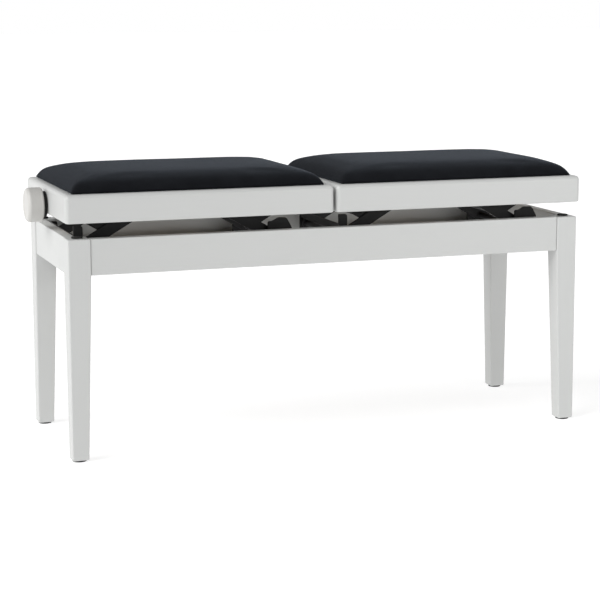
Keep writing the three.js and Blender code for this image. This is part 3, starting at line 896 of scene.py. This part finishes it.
DRIVEN_ARM = {"left": "a", "right": "b"}
BAR_RADIUS = 11 * MM
ARM_Y = 100 * MM
LINK_Y = 95 * MM
PIN_RADIUS = 5 * MM
AXLE_RADIUS = 6 * MM
TIE_RADIUS = 4 * MM
TIE_SHARE = 0.6                # where the tie rod is, from the link's fixed pivot to its other end
ARM_SPACER_END = 108.7 * MM    # the outer ends of the spacer tubes, front to back from the middle
LINK_SPACER_END = 102.7 * MM
AXLE_SPACER_RADIUS = 9 * MM
MIDDLE_SPACER_RADIUS = 8 * MM
PIN_SPACER_RADIUS = 7.5 * MM
CAP_OVERLAP = 0.8 * MM


def bar(start, end, y, hole_at):
    """A flat bar with round ends between two pivots, in the plane of height y."""
    along = end - start
    length = along.length
    matrix = axes_matrix((start.x, y, start.z), along, Vector((-along.z, 0, along.x)))
    outline = stadium((0, 0), (length, 0), BAR_RADIUS)
    return plate(outline, [circle((share * length, 0), PIN_HOLE) for share in hole_at], STEEL, matrix)


def across(point, y):
    return Vector((point.x, y, point.z))


def end_cap(point, y, sign, radius):
    """A domed push-on cap on the end of a pin."""
    profile = [(0, 0), (radius, 0), (radius, 0.5 * MM), (0.8 * radius, 0.9 * MM),
               (0.55 * radius, 1.2 * MM), (0.5 * radius, 1.6 * MM), (0, 1.7 * MM)]
    return turned(profile, turning(across(point, y), (0, sign, 0)), 28)


def end_caps(point, end_y, radius):
    """The caps on both ends of a pin."""
    return [end_cap(point, sign * (end_y - CAP_OVERLAP), sign, radius) for sign in (-1, 1)]


def arm_frame(unit, side):
    node = f"{unit}_{side}_arm"
    low, middle, top, _ = linkage_points(unit, side)
    axle_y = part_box(node)[1].y
    parts = [
        rod(across(low, -axle_y), across(low, axle_y), AXLE_RADIUS),
        rod(across(middle, -ARM_Y), across(middle, ARM_Y), PIN_RADIUS)]
    driven = DRIVEN_ARM[unit] == side
    pin_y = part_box(f"{unit}_{side}_link")[1].y
    if not driven:
        parts.append(rod(across(top, -pin_y), across(top, pin_y), PIN_RADIUS))
    for sign in (-1, 1):
        parts.append(bar(low, top, sign * ARM_Y, [1.0] if driven else []))
        face = sign * (ARM_Y - STEEL / 2)
        parts.append(weld_bead(across(low, face), (0, sign, 0), AXLE_RADIUS))
        parts.append(tube(
            across(low, sign * (ARM_Y + STEEL / 2)), across(low, sign * ARM_SPACER_END),
            AXLE_RADIUS, AXLE_SPACER_RADIUS))
        parts.append(tube(
            across(middle, sign * (LINK_Y + STEEL / 2 + 0.1 * MM)), across(middle, face),
            PIN_RADIUS, MIDDLE_SPACER_RADIUS, 0.1 * MM))
    make_piece(
        f"{node}_welded", merged(*parts), BLACK_STEEL, f"{unit}_arm_{side}", (node,))
    caps = end_caps(low, axle_y, AXLE_SPACER_RADIUS)
    if not driven:
        caps += end_caps(top, pin_y, PIN_SPACER_RADIUS)
    make_piece(
        f"{node}_caps", merged(*caps), BRIGHT_STEEL, f"{unit}_arm_{side}")


def link_frame(unit, side):
    node = f"{unit}_{side}_link"
    _, middle, _, fixed = linkage_points(unit, side)
    tie = fixed.lerp(middle, TIE_SHARE)
    end_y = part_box(node)[1].y
    parts = [rod(across(tie, -LINK_Y), across(tie, LINK_Y), TIE_RADIUS)]
    for sign in (-1, 1):
        parts.append(bar(middle, fixed, sign * LINK_Y, [0.0]))
        parts.append(rod(across(fixed, sign * LINK_Y), across(fixed, sign * end_y), PIN_RADIUS))
        inner = sign * (LINK_Y - STEEL / 2)
        parts.append(weld_bead(across(tie, inner), (0, sign, 0), TIE_RADIUS, 1.1 * MM))
        parts.append(tube(
            across(fixed, sign * (LINK_Y + STEEL / 2)), across(fixed, sign * LINK_SPACER_END),
            PIN_RADIUS, PIN_SPACER_RADIUS))
    make_piece(
        f"{node}_welded", merged(*parts), BLACK_STEEL, f"{unit}_link_{side}", (node,))
    caps = end_caps(fixed, end_y, PIN_SPACER_RADIUS)
    make_piece(
        f"{node}_caps", merged(*caps), BRIGHT_STEEL, f"{unit}_link_{side}")


BLOCK_HALF = (15 * MM, 14 * MM)   # the nut's block, half its depth and half its height
BORE_RADIUS = 6.3 * MM            # through the nut, the knob and the bush, around the spindle


def carriage(unit):
    """The driven arm's sliding pin and the welded block on it that holds the nut."""
    node = f"{unit}_carriage"
    nut_low, nut_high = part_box(f"{unit}_spindle_nut")
    nut = (nut_low + nut_high) / 2
    nut_radius = (nut_high.z - nut_low.z) / 2
    pin = linkage_points(unit, DRIVEN_ARM[unit])[2]
    end_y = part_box(node)[1].y
    depth, height = BLOCK_HALF
    block = rounded([
        (-depth, nut.z - height), (depth, nut.z - height),
        (depth, nut.z + height), (-depth, nut.z + height)], 2.5 * MM)
    parts = [plate(
        block, [circle((0, nut.z), nut_radius + 0.3 * MM)], nut_high.x - nut_low.x,
        axes_matrix((nut.x, 0, 0), (0, 1, 0), (0, 0, 1)), 0.6 * MM)]
    for sign in (-1, 1):
        inside = across(pin, sign * 12 * MM)
        parts.append(rod(inside, across(pin, sign * end_y), PIN_RADIUS))
        parts.append(weld_bead(across(pin, sign * depth), (0, sign, 0), PIN_RADIUS))
    make_piece(
        f"{node}_welded", merged(*parts), BLACK_STEEL, f"{unit}_carriage", (node,))
    caps = end_caps(pin, end_y, PIN_SPACER_RADIUS)
    make_piece(
        f"{node}_caps", merged(*caps), BRIGHT_STEEL, f"{unit}_carriage")
    inner = BORE_RADIUS
    length = nut_high.x - nut_low.x
    profile = [
        (inner + 0.8 * MM, 0), (nut_radius - 0.6 * MM, 0), (nut_radius, 0.6 * MM),
        (nut_radius, length - 0.6 * MM), (nut_radius - 0.6 * MM, length),
        (inner + 0.8 * MM, length), (inner, length - 0.8 * MM), (inner, 0.8 * MM),
        (inner + 0.8 * MM, 0)]
    place = Vector((nut_low.x, nut.y, nut.z))
    make_piece(
        f"{unit}_spindle_nut_turned", turned(profile, turning(place, (1, 0, 0))), BRONZE,
        f"{unit}_carriage", (f"{unit}_spindle_nut",))


# ------------------------------------------------------------------ spindle, knob and bush

THREAD_LEAD = 4 * MM
THREAD_DEPTH = 1.1 * MM
THREAD_SIDES = 24
THREAD_STEPS = 8            # rings to each turn of the thread
THREAD_TAPER = 3 * MM       # the free end narrows over this length
SPINDLE_RADIUS = 6 * MM
PLAIN_LENGTH = 6 * MM       # unthreaded, inside the seat rail
COLLAR_GAP = 0.5 * MM
COLLAR_WIDTH = 2.5 * MM
COLLAR_RADIUS = 10 * MM


def spindle(unit):
    """A rod with a real helical thread from the seat rail to its free end."""
    node = f"{unit}_spindle"
    low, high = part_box(node)
    middle = (low + high) / 2
    rail_low, rail_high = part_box(f"{unit}_seat_rail_outer")
    left = unit == "left"
    start = rail_high.x if left else rail_low.x
    inward = 1 if left else -1
    knob_end = low.x if left else high.x
    free_end = high.x if left else low.x
    collar_face = start + inward * COLLAR_GAP
    plain_end = collar_face + inward * PLAIN_LENGTH
    smooth = rod(
        Vector((knob_end, 0, middle.z)), Vector((plain_end, 0, middle.z)),
        SPINDLE_RADIUS - 0.05 * MM)
    collar = tube(
        Vector((collar_face, 0, middle.z)),
        Vector((collar_face + inward * COLLAR_WIDTH, 0, middle.z)),
        SPINDLE_RADIUS - 0.5 * MM, COLLAR_RADIUS, 0.4 * MM)
    length = abs(free_end - plain_end)
    hand = 1 if left else -1
    rings = int(length / THREAD_LEAD * THREAD_STEPS)
    mesh = bmesh.new()
    grid = []
    for ring in range(rings + 1):
        along = length * ring / rings
        taper = min(1.0, (length - along) / THREAD_TAPER)
        loop = []
        for side in range(THREAD_SIDES):
            angle = 2 * math.pi * side / THREAD_SIDES
            phase = (along / THREAD_LEAD - hand * inward * side / THREAD_SIDES) % 1
            ridge = min(1.0, max(0.0, 1.6 - 4 * abs(phase - 0.5)))
            reach = SPINDLE_RADIUS - THREAD_DEPTH * (1 - ridge) - 1.2 * MM * (1 - taper)
            loop.append(mesh.verts.new((
                plain_end + inward * along,
                reach * math.cos(angle), middle.z + reach * math.sin(angle))))
        grid.append(loop)
    for first, second in zip(grid, grid[1:]):
        for side in range(THREAD_SIDES):
            after = (side + 1) % THREAD_SIDES
            mesh.faces.new((first[side], first[after], second[after], second[side]))
    mesh.faces.new(grid[0])
    mesh.faces.new(grid[-1])
    make_piece(
        f"{unit}_threaded_spindle", merged(smooth, collar, mesh), BRIGHT_STEEL,
        f"{unit}_knob", (node,))


KNOB_RIM = 7 * MM
KNOB_INNER_RIM = 3.5 * MM
KNOB_BORE_DEPTH = 18 * MM


def knob(unit):
    """A turned knob: softly rounded outer rim, slightly dished face and an eased inner rim."""
    node = f"{unit}_knob"
    low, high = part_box(node)
    radius = (high.z - low.z) / 2
    length = high.x - low.x
    bore = BORE_RADIUS
    profile = [
        (0, KNOB_BORE_DEPTH), (bore, KNOB_BORE_DEPTH), (bore, 0.6 * MM), (bore + 0.6 * MM, 0)]
    profile += arc((radius - KNOB_INNER_RIM, KNOB_INNER_RIM), KNOB_INNER_RIM, -90, 0, 8)
    profile += arc((radius - KNOB_RIM, length - KNOB_RIM), KNOB_RIM, 0, 90, 12)
    profile += [(radius * 0.62, length - 0.1 * MM), (radius * 0.35, length - 0.5 * MM),
                (0, length - 0.7 * MM)]
    left = unit == "left"
    start = Vector((high.x if left else low.x, 0, (low.z + high.z) / 2))
    matrix = turning(start, (-1 if left else 1, 0, 0))
    make_piece(
        f"{unit}_turned_knob", turned(profile, matrix, 72), KNOB_WHITE, f"{unit}_knob",
        (node,))


def knob_bush(unit):
    """The rubber spacer ring between the seat and its knob, with a groove round it."""
    node = f"{unit}_knob_bush"
    low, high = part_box(node)
    radius = (high.z - low.z) / 2
    length = high.x - low.x
    bore = BORE_RADIUS
    profile = [(bore, 0), (radius - 0.8 * MM, 0), (radius, 0.8 * MM), (radius, 0.36 * length),
               (radius - 0.7 * MM, 0.42 * length), (radius - 0.7 * MM, 0.58 * length),
               (radius, 0.64 * length), (radius, length - 0.8 * MM),
               (radius - 0.8 * MM, length), (bore, length), (bore, 0)]
    place = Vector((low.x, 0, (low.z + high.z) / 2))
    make_piece(
        f"{unit}_bush_ring", turned(profile, turning(place, (1, 0, 0)), 56), RUBBER,
        f"{unit}_seat", (node,))


# ------------------------------------------------------------------ studio

FLOOR_HALF = 30.0
FLOOR_GLOW = 0.73
WALL_LIGHT = 1.0
CEILING_LIGHT = 0.27
WALL_TOP = (0.14, 0.45)   # sines of the heights where the walls start and stop fading
FRONT_SHARE = 0.87        # the front wall's share of the others' light
FRONT_FADE = (-0.6, 0.2)  # where along Y the front wall's share fades into the full light
KEY_LIGHT = 2.4
KEY_FROM = (-75, 38)      # azimuth and elevation in degrees
KEY_SPREAD = 50
FILL_LIGHT = 6.5
FILL_FROM = (30, 10)
FILL_DISTANCE = 2.2
FILL_SIZE = (1.4, 0.22)


def towards(azimuth, elevation):
    """The unit vector from the bench towards an azimuth and elevation in degrees."""
    a, e = math.radians(azimuth), math.radians(elevation)
    return Vector((math.sin(a) * math.cos(e), -math.cos(a) * math.cos(e), math.sin(e)))


def add_light(name, kind, direction, distance=0.0, **settings):
    data = bpy.data.lights.new(name, kind)
    for setting, value in settings.items():
        setattr(data, setting, value)
    light = bpy.data.objects.new(name, data)
    light.location = Vector((0, 0, 0.3)) + distance * direction
    light.rotation_euler = direction.to_track_quat("Z", "Y").to_euler()
    bpy.context.scene.collection.objects.link(light)


def studio():
    """White walls up to a low height, a dim ceiling, a soft key and a low strip for the fill."""
    scene = bpy.context.scene
    scene.view_settings.view_transform = "Standard"
    scene.view_settings.look = "None"
    world = bpy.data.worlds.new("studio")
    world.use_nodes = True
    tree = world.node_tree
    place = add_node(tree, "TexCoord").outputs["Generated"]
    towards_point = add_node(tree, "SeparateXYZ", ("Vector", place)).outputs
    glow = remap(tree, towards_point["Z"], WALL_LIGHT, CEILING_LIGHT, *WALL_TOP)
    front = remap(tree, towards_point["Y"], FRONT_SHARE, 1.0, *FRONT_FADE)
    strength = add_node(tree, "Math", (0, glow), (1, front), operation="MULTIPLY")
    tree.links.new(strength.outputs[0], tree.nodes["Background"].inputs["Strength"])
    tree.nodes["Background"].inputs["Color"].default_value = (1, 1, 1, 1)
    scene.world = world
    add_light(
        "key", "SUN", towards(*KEY_FROM), energy=KEY_LIGHT, angle=math.radians(KEY_SPREAD))
    add_light(
        "fill", "AREA", towards(*FILL_FROM), FILL_DISTANCE, energy=FILL_LIGHT,
        shape="RECTANGLE", size=FILL_SIZE[0], size_y=FILL_SIZE[1])


def add_floor():
    mesh = bmesh.new()
    bmesh.ops.create_grid(mesh, x_segments=8, y_segments=8, size=FLOOR_HALF)
    data = bpy.data.meshes.new("studio_floor")
    mesh.to_mesh(data)
    mesh.free()
    floor = bpy.data.objects.new("studio_floor", data)
    floor.location.z = -0.2 * MM
    bpy.context.scene.collection.objects.link(floor)
    material, _, _ = new_material(
        "studio_floor", Base_Color=(0.5, 0.5, 0.5, 1), Roughness=0.9,
        Specular_IOR_Level=0.1, Emission_Color=(1, 1, 1, 1), Emission_Strength=FLOOR_GLOW)
    data.materials.append(material)


# ------------------------------------------------------------------ the bench

add_camera()
studio()
add_floor()
wooden_base()
feet_and_pads()
for index, unit_name in enumerate(UNITS):
    seat_frame(unit_name)
    seat_board(unit_name)
    cushion(unit_name, index + 1)
    cross_plate(unit_name)
    for depth_name in ("front", "rear"):
        lower_rail(unit_name, depth_name)
        upper_rail(unit_name, depth_name)
    for side_name in ("a", "b"):
        arm_frame(unit_name, side_name)
        link_frame(unit_name, side_name)
    carriage(unit_name)
    spindle(unit_name)
    knob(unit_name)
    knob_bush(unit_name)
